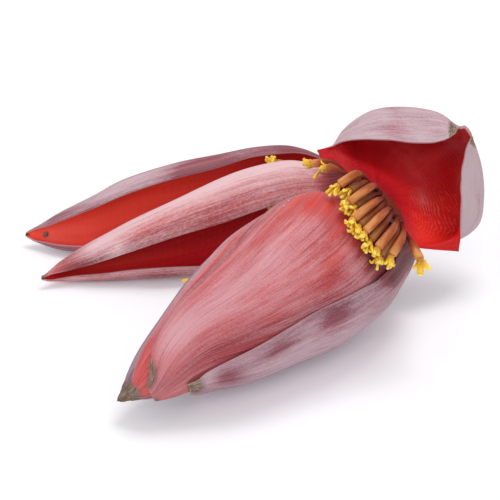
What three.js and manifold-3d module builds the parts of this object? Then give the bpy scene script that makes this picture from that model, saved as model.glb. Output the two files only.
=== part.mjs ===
// Banana blossom: the purple flower bud of a banana plant, cut with a short stalk and lying on its side.
// Three of its bracts have peeled back and show their red inner faces and the flowers that they covered.
// Millimetres, +Z up. The origin is on the ground under the middle of the blossom's bounding box.
import * as THREE from 'three';
import { mergeVertices } from 'three/addons/utils/BufferGeometryUtils.js';
import Module from 'manifold-3d';

const wasm = await Module();
wasm.setup();

// ---- Driving dimensions ----------------------------------------------------------------------------

const CENTRE_X = 0.3; // middle of the blossom's footprint, in the frame that the tables below use
const CENTRE_Y = -65.3;
const CLEARANCE = 0.4; // gap between pieces that grow against each other
const BRACT_THICKNESS = 1.5; // bracts that still hug the bud
const BUD_SLACK = 0.6; // how far the tight bud stays inside the radii below, so that the bracts clear it
const PEELED_THICKNESS = 2; // the fleshier bracts that have peeled back
const THIN_MARGIN = 0.5; // thickness at a bract's margin, as a share of its middle
const FINGER_RADIUS = 3.1; // one flower's finger
const FINGER_ROOT = 0.78; // its thickness at the root, as a share of that radius
const FINGER_SWELL = 0.34; // and how much of it the finger gains past its middle
const STALK_CUT = -12; // where the stalk was cut, along the bud's axis
const CROWN = 0; // where the stalk becomes the bud
const TIP = 227; // the bud's length along its axis

// The bud's axis: [distance from the crown, x, y, z, radius of the tight bud].
const AXIS = [
  [-30, 91, -20, 72, 13],
  [0, 75, -44, 62, 17],
  [13, 71, -55.5, 58.5, 22],
  [27, 66, -68.5, 56, 30],
  [45, 55.5, -81, 53, 39.2],
  [80, 32.5, -102, 48.8, 43.2],
  [115, 7, -124, 46, 40.4],
  [150, -19, -149, 41, 34],
  [180, -43, -166.5, 32.5, 23],
  [205, -62.5, -181, 22.7, 14],
  [227, -79, -191, 14, 1.5],
];

// Bracts that still hug the bud: [distance from the crown, one margin, other margin, rise off the bud].
// The margins are angles round the axis, in degrees from its top towards the front right.
const INNER_BRACT = [
  [28, -80, 150, 0.4],
  [70, -62, 165, 0.4],
  [110, -40, 165, 0.4],
  [145, -26, 150, 0.4],
  [180, -18, 130, 0.4],
  [205, 0, 105, 0.4],
  [221, 50, 80, 0.4],
];
const FRONT_BRACT = [
  [29, -62, 150, 2.6],
  [60, -38, 158, 2.6],
  [90, -24, 155, 2.6],
  [120, -12, 145, 2.6],
  [150, -5, 130, 2.6],
  [175, -3, 120, 2.6],
  [195, 14, 118, 3],
  [212, 70, 104, 3.6],
];
const UNDER_BRACT = [
  [20, 102, 215, 12],
  [35, 91, 240, 7.5],
  [60, 81.5, 250, 5],
  [90, 79, 245, 4.8],
  [125, 80, 235, 4.8],
  [150, 82.5, 220, 4.8],
  [175, 87.5, 180, 5],
  [194, 95, 112, 5.4],
];

// Peeled bracts that lie on the ground, as a row of elliptical sections in upright planes across them:
// [x, y, z, half height, half depth, upper margin, lower margin]. The margins are angles in degrees round
// the section, from its top towards the front; the bract runs between them over its top and back.
const SECTION_UP = new THREE.Vector3(0, 0.5, 0.866);
const SECTION_BACK = new THREE.Vector3(0, 0.866, -0.5);
const LEFT_FRONT_BRACT = [
  [-137, -36, 7.5, 1.2, 1, 60, -195],
  [-133, -35.5, 7.7, 3.2, 2.5, 75, -200],
  [-124, -30, 9, 7.4, 5.5, 98, -222],
  [-111, -25, 11.2, 11.8, 9, 102, -226],
  [-94, -22, 15.2, 16.3, 12, 98, -226],
  [-77, -19.5, 19.2, 20.5, 15, 94, -225],
  [-50, -15, 25, 26, 18, 89, -222],
  [-20, -7, 30, 32, 20, 88, -210],
  [2, -1, 34, 33.5, 20, 86, -200],
  [22, 3, 39, 31, 19, 85, -190],
  [36, 1, 45, 26, 16, 85, -185],
  [50, -7, 53, 20, 11, 86, -170],
  [64, -18, 62, 15, 6, 70, -140],
  [70, -26, 64, 11, 4, 50, -120],
];
const LEFT_BACK_BRACT = [
  [-151.5, 19, 9, 1.2, 1, 15, -190],
  [-148, 18.5, 9, 3.6, 2.8, 30, -195],
  [-139, 17, 10.5, 8, 6, 52, -215],
  [-127, 15, 13.8, 13.3, 9, 60, -220],
  [-105, 16, 18.4, 20, 13, 58, -220],
  [-84, 22, 22.6, 24.5, 15, 58, -215],
  [-50, 30, 26.6, 28, 17, 53, -210],
  [-20, 38, 27.6, 29.5, 18, 46, -200],
  [3, 44, 30, 29, 18, 41, -195],
  [22, 48, 33, 26, 16, 39, -185],
  [36, 36, 43, 20, 13, 34, -180],
  [50, 14, 56, 13, 9, 27, -170],
  [68, -9, 67, 9, 5, 20, -140],
  [76, -19, 69, 7, 4, 10, -130],
];

// The bract that has folded right back, as a hood that opens to the front: a net of points on its outer
// face, each row running from its left margin to its right one, and the rows from its base to its tip.
const HOOD_NET = [
  [
    [47, -17, 92.5], [51, -22, 88.5], [63, -37, 87.5], [83, -53, 80],
    [96, -56, 63], [106, -54, 43], [134, -44, 36],
  ],
  [
    [62, -22, 102], [60, -8, 102], [72, -9, 88], [93, -33, 75],
    [109, -35, 55], [131, -34, 33], [136, -43, 50],
  ],
  [
    [85, -25, 104], [78, 0, 112], [91, 3, 89], [106, -15, 74],
    [124, -15, 54], [148, -27, 41], [136, -37, 68],
  ],
  [
    [107, -26, 102], [100, 3, 113], [111, 8, 90], [121, -1, 78],
    [136, -3, 62], [152, -20, 57], [136, -31, 83],
  ],
  [
    [123, -24, 103], [121, -1, 111], [128, 5, 96], [138, 2, 88],
    [145, -3, 79], [150, -14, 79], [139, -23, 96],
  ],
  [
    [131, -20, 106.5], [133, -16, 108], [135.5, -14, 108], [138, -13, 107.5],
    [140, -14, 106], [142, -16, 103.5], [142.5, -18, 101],
  ],
];

// The hand of flowers that the hood has uncovered, one row for each flower: its root, its bend, the end of
// its finger and its mouth, each as [distance from the crown, angle round a line, distance from that line].
const FRONT_HAND = [
  [[-1, -24, 31], [-7.6, -45, 37.5], [-8.8, -66.5, 46.8], [-8.2, -73, 52.6]],
  [[1, -12, 30], [-1, -30, 34.6], [-5, -47, 37], [-5.8, -60.7, 41]],
  [[6, 8, 31], [29, 6, 52.5], [46, 1.5, 50], [56.8, 1, 46]],
  [[7, 9, 29], [25, 9, 44], [40.5, 8.5, 46.5], [53, 9, 46]],
  [[9.5, 19, 31], [33, 20.5, 52.5], [56.5, 18.5, 49], [63.2, 17.5, 46.5]],
  [[9, 25, 29], [33, 22, 44.5], [52, 22.5, 46.5], [62, 25, 46]],
  [[15.6, 31, 31], [40, 30.5, 51.5], [63.8, 30.5, 49], [68.2, 35.5, 47]],
  [[14, 34, 29], [36, 34.5, 46.5], [61.7, 36.5, 46.5], [69.8, 43, 47]],
  [[19, 42, 31], [41, 40, 51.5], [63.7, 43, 49], [67.2, 48, 47.5]],
  [[17, 47, 29], [38, 45, 47], [61.8, 50.5, 46.5], [69, 57, 47]],
  [[20, 55, 31], [42, 52.5, 51], [62, 57.5, 49.5], [65.4, 62.5, 47.5]],
  [[20, 60, 30], [39, 57.5, 47], [60, 64, 46.5], [65.2, 73.5, 46.5]],
  [[20, 66, 31], [38, 61.5, 50], [54.8, 67.5, 51], [59, 76.5, 48.5]],
  [[21, 77, 31], [35, 70, 52], [51.6, 71, 70], [49, 80.7, 67.4]],
];
// The line that its flowers are measured from: [distance from the crown, x, y, z].
const HAND_LINE = [
  [-30, 91, -20, 72],
  [0, 75, -44, 62],
  [13, 71, -55.5, 58.5],
  [27, 66, -68.5, 56],
  [45, 55.5, -83, 54],
  [80, 33, -110, 52.6],
  [115, 7.5, -133, 50],
];
// The ridge under that hand: [angle round the axis, distance from the crown].
const FRONT_RIDGE = [
  [-30, -2],
  [-12, 1.3],
  [8, 6],
  [19, 9.5],
  [31, 15.6],
  [42, 19.5],
  [60, 20.5],
  [82, 21.5],
];
const RIDGE_TOP = 31; // the ridge's least distance from the axis
const RIDGE_HEIGHT = 3.5; // and its least height
const RIDGE_HALF_WIDTH = 3;

// The hands inside the two bracts on the left, in the same way with each place as [x, y, z].
const LEFT_FRONT_HAND = [
  [[53, -6, 62], [34, 2, 59], [14, 6, 52], [7, 7, 48]],
  [[53, -8, 58], [37, -2, 51], [18, 0, 43], [11, 0, 39]],
  [[53, -11, 54], [36, -8, 45], [17, -7, 35], [10, -7, 31]],
  [[53, -5, 56], [38, 5, 46], [21, 9, 37], [14, 10, 33]],
  [[53, -9, 51], [38, 0, 37], [21, 1, 28], [14, 1, 25]],
  [[53, -14, 49], [26, -25, 30], [-4, -34, 12], [-12, -35.5, 10]],
];
const LEFT_BACK_HAND = [
  [[51, 12.5, 60], [35, 33.5, 52], [17, 42, 51], [10, 42, 56]],
  [[51, 12, 58], [35, 34, 46], [14, 46, 42], [7, 48, 39]],
  [[51, 11.5, 56], [35.5, 33, 42], [17, 42, 34], [10, 43, 31]],
];
const SIDE_RIDGE_RADIUS = 3.6;

// The yellow mouth of a flower: lobes that spread from the end of its finger, and a style between them.
const LOBES = 3;
const LOBE_RADIUS = 1.8;
const LOBE_TAPER = 0.35; // share of its radius that a lobe loses along its length
const LOBE_FLARE = 24; // degrees off the mouth's own direction
const STYLE_RADIUS = 0.9;
const STYLE_KNOB = 0.7; // how much thicker a long style ends, as a share of its radius
const STYLE_REACH = 1.15; // the style's length, as a share of the lobes'
// Two styles grow on past their mouths: one over the top of the front hand's first flowers, and one from the
// foot of the left front hand out over the ground.
const HANGING_STYLE = [
  [-5, -54, 39],
  [-3.5, -62, 40],
  [-0.4, -66.7, 40],
];
const GROUND_STYLE = [
  [-4, -34, 12],
  [-24, -36.5, 8.5],
  [-44.7, -38.5, 6.8],
];

// ---- Tables, frames and meshes ---------------------------------------------------------------------

const radians = THREE.MathUtils.degToRad;
const vector = (x, y, z) => new THREE.Vector3(x, y, z);

// The values of a table's row at t, on smooth curves through the rows [t, value, value, ...].
function along(rows, t) {
  const last = rows.length - 1;
  let i = 0;
  while (i < last - 1 && t > rows[i + 1][0]) i += 1;
  const span = rows[i + 1][0] - rows[i][0];
  const x = (t - rows[i][0]) / span;
  const slope = (k, column) => {
    const before = rows[Math.max(k - 1, 0)];
    const after = rows[Math.min(k + 1, last)];
    return ((after[column] - before[column]) / (after[0] - before[0])) * span;
  };
  const values = [];
  for (let column = 1; column < rows[0].length; column += 1) {
    values.push(
      (2 * x ** 3 - 3 * x ** 2 + 1) * rows[i][column] +
        (x ** 3 - 2 * x ** 2 + x) * slope(i, column) +
        (3 * x ** 2 - 2 * x ** 3) * rows[i + 1][column] +
        (x ** 3 - x ** 2) * slope(i + 1, column),
    );
  }
  return values;
}

// The bud's radius at a distance from the crown.
const budRadius = (distance) => along(AXIS, distance)[3];

// A place round the bud's axis or another line: distance from the crown, angle from the top, distance from
// the line.
function round(distance, angle, radius, line = AXIS) {
  const centre = vector(...along(line, distance));
  const ahead = vector(...along(line, distance + 0.5)).sub(vector(...along(line, distance - 0.5)));
  ahead.normalize();
  const up = vector(0, 0, 1).addScaledVector(ahead, -ahead.z).normalize();
  const side = up.clone().cross(ahead);
  return centre
    .addScaledVector(up, radius * Math.cos(radians(angle)))
    .addScaledVector(side, radius * Math.sin(radians(angle)));
}

// The same point, or the one above it on the ground.
function onGround(point) {
  return point.setZ(Math.max(point.z, 0));
}

// A geometry with positions only and shared vertices merged.
function bare(geometry) {
  const plain = geometry.clone();
  plain.deleteAttribute('normal');
  plain.deleteAttribute('uv');
  return mergeVertices(plain, 1e-4);
}

// Moves each vertex of a geometry to what place(vertex) gives.
function shaped(geometry, place) {
  const position = geometry.getAttribute('position');
  for (let i = 0; i < position.count; i += 1) {
    const moved = place(vector().fromBufferAttribute(position, i));
    position.setXYZ(i, moved.x, moved.y, moved.z);
  }
  return bare(geometry);
}

// A solid of round sections: place(t, angle, reach) runs from t = 0 to 1, with reach 0 on its axis.
function roundSolid(sides, steps, place) {
  const cylinder = new THREE.CylinderGeometry(1, 1, 1, sides, steps);
  return outward(
    shaped(cylinder, (v) => place(v.y + 0.5, Math.atan2(v.x, v.z), Math.hypot(v.x, v.z))),
  );
}

// A thin sheet: outer(s, t) and inner(s, t) are its faces, with s from -1 to 1 and t from 0 to 1.
function sheetSolid(across, lengthwise, outer, inner) {
  const plane = new THREE.PlaneGeometry(2, 1, across, lengthwise);
  const corners = plane.getAttribute('position');
  const [front, back] = [outer, inner].map((face) => {
    const points = [];
    for (let i = 0; i < corners.count; i += 1) points.push(face(corners.getX(i), corners.getY(i) + 0.5));
    return points;
  });
  const sameAs = front.map((p) => front.findIndex((q) => q.distanceTo(p) < 1e-4));
  const triangles = [];
  const edges = new Set();
  const index = plane.getIndex().array;
  for (let i = 0; i < index.length; i += 3) {
    const [a, b, c] = [sameAs[index[i]], sameAs[index[i + 1]], sameAs[index[i + 2]]];
    if (a === b || b === c || c === a) continue;
    triangles.push([a, b, c]);
    [[a, b], [b, c], [c, a]].forEach(([from, to]) => edges.add(`${from} ${to}`));
  }
  const behind = front.length;
  const faces = triangles.flatMap(([a, b, c]) => [a, b, c, c + behind, b + behind, a + behind]);
  edges.forEach((edge) => {
    const [from, to] = edge.split(' ').map(Number);
    if (edges.has(`${to} ${from}`)) return;
    faces.push(to, from, from + behind, to, from + behind, to + behind);
  });
  const geometry = new THREE.BufferGeometry();
  const positions = [...front, ...back].flatMap((p) => p.toArray());
  geometry.setAttribute('position', new THREE.Float32BufferAttribute(positions, 3));
  geometry.setIndex(faces);
  return outward(mergeVertices(geometry, 1e-4));
}

// Six times a closed mesh's volume, negative when its faces point in.
function signedVolume(geometry) {
  const position = geometry.getAttribute('position');
  const index = geometry.getIndex().array;
  const corner = (i) => vector().fromBufferAttribute(position, index[i]);
  let volume = 0;
  for (let i = 0; i < index.length; i += 3) volume += corner(i).dot(corner(i + 1).cross(corner(i + 2)));
  return volume;
}

// The same mesh with its faces pointing out.
function outward(geometry) {
  if (signedVolume(geometry) < 0) geometry.setIndex([...geometry.getIndex().array].reverse());
  return geometry;
}

function toSolid(geometry) {
  const vertProperties = new Float32Array(geometry.getAttribute('position').array);
  const triVerts = new Uint32Array(geometry.getIndex().array);
  return new wasm.Manifold(new wasm.Mesh({ numProp: 3, vertProperties, triVerts }));
}

function fromSolid(solid) {
  const { vertProperties, triVerts } = solid.getMesh();
  const geometry = new THREE.BufferGeometry();
  geometry.setAttribute('position', new THREE.BufferAttribute(vertProperties, 3));
  geometry.setIndex(new THREE.BufferAttribute(triVerts, 1));
  return geometry;
}

const joined = (geometries) => geometries.map(toSolid).reduce((sum, solid) => sum.add(solid));

// ---- The bud and its stalk -------------------------------------------------------------------------

function tightBud() {
  const sides = 30;
  const steps = 22;
  return roundSolid(sides, steps, (t, angle, reach) => {
    const distance = CROWN + (TIP - CROWN) * t;
    return round(distance, THREE.MathUtils.radToDeg(angle), (budRadius(distance) - BUD_SLACK) * reach);
  });
}

function stalk() {
  const sides = 18;
  const steps = 4;
  return roundSolid(sides, steps, (t, angle, reach) => {
    const distance = STALK_CUT + (CROWN - CLEARANCE - STALK_CUT) * t;
    return round(distance, THREE.MathUtils.radToDeg(angle), (budRadius(distance) - 1) * reach);
  });
}

// ---- Bracts that still hug the bud -----------------------------------------------------------------

// Share of the full thickness at s across a bract, thinner towards both margins.
const taper = (s) => 1 - (1 - THIN_MARGIN) * s ** 4;

function huggingBract(rows, across, lengthwise) {
  const [start, end] = [rows[0][0], rows[rows.length - 1][0]];
  const face = (thickness) => (s, t) => {
    const distance = start + (end - start) * t;
    const [from, to, rise] = along(rows, distance);
    const angle = (from + to) / 2 + ((to - from) / 2) * s;
    return onGround(round(distance, angle, budRadius(distance) + rise + thickness * taper(s)));
  };
  return sheetSolid(across, lengthwise, face(BRACT_THICKNESS), face(0));
}

// ---- Peeled bracts ---------------------------------------------------------------------------------

function groundBract(rows, across, lengthwise) {
  const stations = rows.map((row, i) => [i, ...row]);
  const face = (depth) => (s, t) => {
    const [x, y, z, height, width, upper, lower] = along(stations, t * (rows.length - 1));
    const angle = radians((upper + lower) / 2 + ((lower - upper) / 2) * s);
    const inset = depth * taper(s);
    return onGround(
      vector(x, y, z)
        .addScaledVector(SECTION_UP, Math.max(height - inset, height / 3) * Math.cos(angle))
        .addScaledVector(SECTION_BACK, -Math.max(width - inset, width / 3) * Math.sin(angle)),
    );
  };
  return sheetSolid(across, lengthwise, face(0), face(PEELED_THICKNESS));
}

// A point of the hood's outer face, with s from -1 to 1 across it and t from 0 to 1 along it.
function hoodPoint(s, t) {
  const columns = HOOD_NET[0].length - 1;
  const lines = HOOD_NET.map((row, k) => {
    const stations = row.map((point, i) => [i, ...point]);
    return [k, ...along(stations, ((s + 1) / 2) * columns)];
  });
  return vector(...along(lines, t * (HOOD_NET.length - 1)));
}

function hoodBract() {
  const nudge = 0.01;
  const inner = (s, t) => {
    const acrossWall = hoodPoint(s + nudge, t).sub(hoodPoint(s - nudge, t));
    const upWall = hoodPoint(s, t + nudge).sub(hoodPoint(s, t - nudge));
    const inward = acrossWall.cross(upWall).normalize();
    return hoodPoint(s, t).addScaledVector(inward, PEELED_THICKNESS * taper(s));
  };
  return sheetSolid(24, 20, hoodPoint, inner);
}

// ---- Hands of flowers ------------------------------------------------------------------------------

// A round bar along a smooth curve through the given points; radiusAt(t) is its radius along it.
function bar(points, sides, steps, radiusAt) {
  const curve = new THREE.CatmullRomCurve3(points);
  const frames = curve.computeFrenetFrames(steps, false);
  return roundSolid(sides, steps, (t, angle, reach) => {
    const i = Math.round(t * steps);
    return curve.getPointAt(t)
      .addScaledVector(frames.normals[i], radiusAt(t) * reach * Math.cos(angle))
      .addScaledVector(frames.binormals[i], radiusAt(t) * reach * Math.sin(angle));
  });
}

// One flower as a list of overlapping solids: its finger, the lobes of its mouth and its style.
function flower(root, bend, end, mouth) {
  const thickness = (t) => FINGER_RADIUS * (FINGER_ROOT + FINGER_SWELL * Math.sin(Math.PI * 0.75 * t));
  const finger = bar([root, bend, end], 6, 6, thickness);
  const reach = end.distanceTo(mouth);
  const ahead = mouth.clone().sub(end).normalize();
  const sideways = vector(0, 0, 1).cross(ahead).normalize();
  const start = end.clone().addScaledVector(ahead, -LOBE_RADIUS);
  const lobes = Array.from({ length: LOBES }, (_, i) => {
    const lean = sideways.clone().applyAxisAngle(ahead, radians((360 / LOBES) * i + 90));
    const tip = end.clone()
      .addScaledVector(ahead, reach * Math.cos(radians(LOBE_FLARE)))
      .addScaledVector(lean, reach * Math.sin(radians(LOBE_FLARE)));
    return bar([start, tip], 4, 1, (t) => LOBE_RADIUS * (1 - LOBE_TAPER * t));
  });
  const styleEnd = end.clone().addScaledVector(ahead, reach * STYLE_REACH);
  const style = bar([start, styleEnd], 4, 1, () => STYLE_RADIUS);
  return [finger, ...lobes, style];
}

// A style that grows on through the given points and ends in a small knob.
function longStyle(points) {
  return bar(points, 6, 6, (t) => STYLE_RADIUS * (1 + STYLE_KNOB * t ** 3));
}

function frontRidge() {
  const [from, to] = [FRONT_RIDGE[0][0], FRONT_RIDGE[FRONT_RIDGE.length - 1][0]];
  return roundSolid(10, 16, (t, turn, reach) => {
    const angle = from + (to - from) * t;
    const distance = along(FRONT_RIDGE, angle)[0] + RIDGE_HALF_WIDTH * reach * Math.cos(turn);
    const foot = budRadius(distance) + 2 * CLEARANCE;
    const top = Math.max(RIDGE_TOP, foot + RIDGE_HEIGHT);
    return round(distance, angle, (top + foot) / 2 + ((top - foot) / 2) * reach * Math.sin(turn));
  });
}

function frontHand() {
  const onLine = (place) => round(...place, HAND_LINE);
  const flowers = FRONT_HAND.flatMap((row) => flower(...row.map(onLine)));
  const style = longStyle(HANGING_STYLE.map(onLine));
  return fromSolid(joined([frontRidge(), ...flowers, style]));
}

// A hand inside a bract on the left: its flowers, and a bar for a ridge through their roots.
function sideHand(rows, extras) {
  const flowers = rows.flatMap((row) => flower(...row.map((place) => vector(...place))));
  const [first, last] = [rows[0][0], rows[rows.length - 1][0]].map((place) => vector(...place));
  const ridge = bar([first, first.clone().lerp(last, 0.5), last], 8, 4, () => SIDE_RIDGE_RADIUS);
  return fromSolid(joined([ridge, ...flowers, ...extras]));
}

function leftFrontHand() {
  return sideHand(LEFT_FRONT_HAND, [longStyle(GROUND_STYLE.map((place) => vector(...place)))]);
}

function leftBackHand() {
  return sideHand(LEFT_BACK_HAND, []);
}

// ---- The blossom -----------------------------------------------------------------------------------

const MAUVE = { color: 0xb5828a, roughness: 0.62, metalness: 0 };
const SALMON = { color: 0xc97b7d, roughness: 0.55, metalness: 0 };
const ROSE = { color: 0xc4686c, roughness: 0.5, metalness: 0 };
const CRIMSON = { color: 0xa01c20, roughness: 0.45, metalness: 0 };
const STALK_GREEN = { color: 0xb9b488, roughness: 0.7, metalness: 0 };
const FLOWER_ORANGE = { color: 0xd08a45, roughness: 0.5, metalness: 0 };

const blossom = new THREE.Group();
blossom.position.set(-CENTRE_X, -CENTRE_Y, 0);

function add(name, geometry, finish) {
  const mesh = new THREE.Mesh(geometry, new THREE.MeshStandardMaterial(finish));
  mesh.name = name;
  blossom.add(mesh);
}

add('tight_bud', tightBud(), MAUVE);
add('stalk', stalk(), STALK_GREEN);
add('bract_inner', huggingBract(INNER_BRACT, 16, 16), SALMON);
add('bract_front', huggingBract(FRONT_BRACT, 16, 16), ROSE);
add('bract_under', huggingBract(UNDER_BRACT, 14, 16), MAUVE);
add('bract_left_front', groundBract(LEFT_FRONT_BRACT, 16, 20), SALMON);
add('bract_left_back', groundBract(LEFT_BACK_BRACT, 16, 20), CRIMSON);
add('bract_hood', hoodBract(), CRIMSON);
add('flower_hand_front', frontHand(), FLOWER_ORANGE);
add('flower_hand_left_front', leftFrontHand(), FLOWER_ORANGE);
add('flower_hand_left_back', leftBackHand(), FLOWER_ORANGE);

export default blossom;
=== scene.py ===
import math
import random
from functools import lru_cache

import bmesh
import bpy
from mathutils import Matrix, Vector, noise


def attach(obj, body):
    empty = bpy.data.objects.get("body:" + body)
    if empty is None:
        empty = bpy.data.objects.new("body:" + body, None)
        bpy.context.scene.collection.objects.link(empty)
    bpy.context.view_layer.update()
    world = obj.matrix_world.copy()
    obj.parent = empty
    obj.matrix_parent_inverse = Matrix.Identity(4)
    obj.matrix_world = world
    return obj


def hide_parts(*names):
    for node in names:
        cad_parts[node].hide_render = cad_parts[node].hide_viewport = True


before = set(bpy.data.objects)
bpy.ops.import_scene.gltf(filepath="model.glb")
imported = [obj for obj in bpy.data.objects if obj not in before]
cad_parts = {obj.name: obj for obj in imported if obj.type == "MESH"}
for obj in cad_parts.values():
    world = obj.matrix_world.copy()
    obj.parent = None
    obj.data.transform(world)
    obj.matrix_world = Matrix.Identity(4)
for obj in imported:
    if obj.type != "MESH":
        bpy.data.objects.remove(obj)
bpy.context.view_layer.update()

# ---- Driving dimensions, in millimetres ------------------------------------------------------------
# The tables are in the frame of the part's own drawing; CENTRE is the middle of its footprint there.

MM = 0.001
CENTRE = Vector((0.3, -65.3, 0.0))
BRACT_THICKNESS = 1.5  # bracts that still hug the bud
PEELED_THICKNESS = 2.0  # bracts that have peeled back
THIN_MARGIN = 0.5  # thickness at a bract's margin, as a share of its middle
BUD_SLACK = 0.6  # how far the tight bud stays inside the radii below
CLEARANCE = 0.4  # gap between pieces that grow against each other
FINGER_RADIUS = 3.1
STALK_CUT = -12.0  # where the stalk was cut, along the bud's axis
TIP = 227.0  # the bud's length along its axis

# The bud's axis: [distance from the crown, x, y, z, radius].
AXIS = [
    [-30, 91, -20, 72, 13],
    [0, 75, -44, 62, 17],
    [13, 71, -55.5, 58.5, 22],
    [27, 66, -68.5, 56, 30],
    [45, 55.5, -81, 53, 39.2],
    [80, 32.5, -102, 48.8, 43.2],
    [115, 7, -124, 46, 40.4],
    [150, -19, -149, 41, 34],
    [180, -43, -166.5, 32.5, 23],
    [205, -62.5, -181, 22.7, 14],
    [227, -79, -191, 14, 1.5],
]

# Bracts that hug the bud: [distance from the crown, one margin, other margin, rise off the bud].
INNER_BRACT = [
    [28, -80, 150, 0.4],
    [70, -62, 165, 0.4],
    [110, -40, 165, 0.4],
    [145, -26, 150, 0.4],
    [180, -18, 130, 0.4],
    [205, 0, 105, 0.4],
    [221, 50, 80, 0.4],
]
FRONT_BRACT = [
    [29, -62, 150, 2.6],
    [60, -38, 158, 2.6],
    [90, -24, 155, 2.6],
    [120, -12, 145, 2.6],
    [150, -5, 130, 2.6],
    [175, -3, 120, 2.6],
    [195, 14, 118, 3],
    [212, 70, 104, 3.6],
]
UNDER_BRACT = [
    [20, 102, 215, 12],
    [35, 91, 240, 7.5],
    [60, 81.5, 250, 5],
    [90, 79, 245, 4.8],
    [125, 80, 235, 4.8],
    [150, 82.5, 220, 4.8],
    [175, 87.5, 180, 5],
    [194, 95, 112, 5.4],
]

# Peeled bracts on the ground: [x, y, z, half height, half depth, upper margin, lower margin].
SECTION_UP = Vector((0, 0.5, 0.866))
SECTION_BACK = Vector((0, 0.866, -0.5))
LEFT_FRONT_BRACT = [
    [-137, -36, 7.5, 1.2, 1, 60, -195],
    [-133, -35.5, 7.7, 3.2, 2.5, 75, -200],
    [-124, -30, 9, 7.4, 5.5, 98, -222],
    [-111, -25, 11.2, 11.8, 9, 102, -226],
    [-94, -22, 15.2, 16.3, 12, 98, -226],
    [-77, -19.5, 19.2, 20.5, 15, 94, -225],
    [-50, -15, 25, 26, 18, 89, -222],
    [-20, -7, 30, 32, 20, 88, -210],
    [2, -1, 34, 33.5, 20, 86, -200],
    [22, 3, 39, 31, 19, 85, -190],
    [36, 1, 45, 26, 16, 85, -185],
    [50, -7, 53, 20, 11, 86, -170],
    [64, -18, 62, 15, 6, 70, -140],
    [70, -26, 64, 11, 4, 50, -120],
]
LEFT_BACK_BRACT = [
    [-151.5, 19, 9, 1.2, 1, 15, -190],
    [-148, 18.5, 9, 3.6, 2.8, 30, -195],
    [-139, 17, 10.5, 8, 6, 52, -215],
    [-127, 15, 13.8, 13.3, 9, 60, -220],
    [-105, 16, 18.4, 20, 13, 58, -220],
    [-84, 22, 22.6, 24.5, 15, 58, -215],
    [-50, 30, 26.6, 28, 17, 53, -210],
    [-20, 38, 27.6, 29.5, 18, 46, -200],
    [3, 44, 30, 29, 18, 41, -195],
    [22, 48, 33, 26, 16, 39, -185],
    [36, 36, 43, 20, 13, 34, -180],
    [50, 14, 56, 13, 9, 27, -170],
    [68, -9, 67, 9, 5, 20, -140],
    [76, -19, 69, 7, 4, 10, -130],
]

# The bract folded right back: a net of points on its outer face, its rows from base to tip.
HOOD_NET = [
    [[47, -17, 92.5], [51, -22, 88.5], [63, -37, 87.5], [83, -53, 80], [96, -56, 63], [106, -54, 43],
     [134, -44, 36]],
    [[62, -22, 102], [60, -8, 102], [72, -9, 88], [93, -33, 75], [109, -35, 55], [131, -34, 33],
     [136, -43, 50]],
    [[85, -25, 104], [78, 0, 112], [91, 3, 89], [106, -15, 74], [124, -15, 54], [148, -27, 41],
     [136, -37, 68]],
    [[107, -26, 102], [100, 3, 113], [111, 8, 90], [121, -1, 78], [136, -3, 62], [152, -20, 57],
     [136, -31, 83]],
    [[123, -24, 103], [121, -1, 111], [128, 5, 96], [138, 2, 88], [145, -3, 79], [150, -14, 79],
     [139, -23, 96]],
    [[131, -20, 106.5], [133, -16, 108], [135.5, -14, 108], [138, -13, 107.5], [140, -14, 106],
     [142, -16, 103.5], [142.5, -18, 101]],
]

# Hands of flowers: root, bend, end of the finger and mouth. The front hand's places are [distance from
# the crown, angle round HAND_LINE, distance from it], and the other two hands' are [x, y, z].
FRONT_HAND = [
    [[-1, -24, 31], [-7.6, -45, 37.5], [-8.8, -66.5, 46.8], [-8.2, -73, 52.6]],
    [[1, -12, 30], [-1, -30, 34.6], [-5, -47, 37], [-5.8, -60.7, 41]],
    [[6, 8, 31], [29, 6, 52.5], [46, 1.5, 50], [56.8, 1, 46]],
    [[7, 9, 29], [25, 9, 44], [40.5, 8.5, 46.5], [53, 9, 46]],
    [[9.5, 19, 31], [33, 20.5, 52.5], [56.5, 18.5, 49], [63.2, 17.5, 46.5]],
    [[9, 25, 29], [33, 22, 44.5], [52, 22.5, 46.5], [62, 25, 46]],
    [[15.6, 31, 31], [40, 30.5, 51.5], [63.8, 30.5, 49], [68.2, 35.5, 47]],
    [[14, 34, 29], [36, 34.5, 46.5], [61.7, 36.5, 46.5], [69.8, 43, 47]],
    [[19, 42, 31], [41, 40, 51.5], [63.7, 43, 49], [67.2, 48, 47.5]],
    [[17, 47, 29], [38, 45, 47], [61.8, 50.5, 46.5], [69, 57, 47]],
    [[20, 55, 31], [42, 52.5, 51], [62, 57.5, 49.5], [65.4, 62.5, 47.5]],
    [[20, 60, 30], [39, 57.5, 47], [60, 64, 46.5], [65.2, 73.5, 46.5]],
    [[20, 66, 31], [38, 61.5, 50], [54.8, 67.5, 51], [59, 76.5, 48.5]],
    [[21, 77, 31], [35, 70, 52], [51.6, 71, 70], [49, 80.7, 67.4]],
]
# The line that the front hand is measured from: [distance from the crown, x, y, z].
HAND_LINE = [
    [-30, 91, -20, 72],
    [0, 75, -44, 62],
    [13, 71, -55.5, 58.5],
    [27, 66, -68.5, 56],
    [45, 55.5, -83, 54],
    [80, 33, -110, 52.6],
    [115, 7.5, -133, 50],
]
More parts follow.
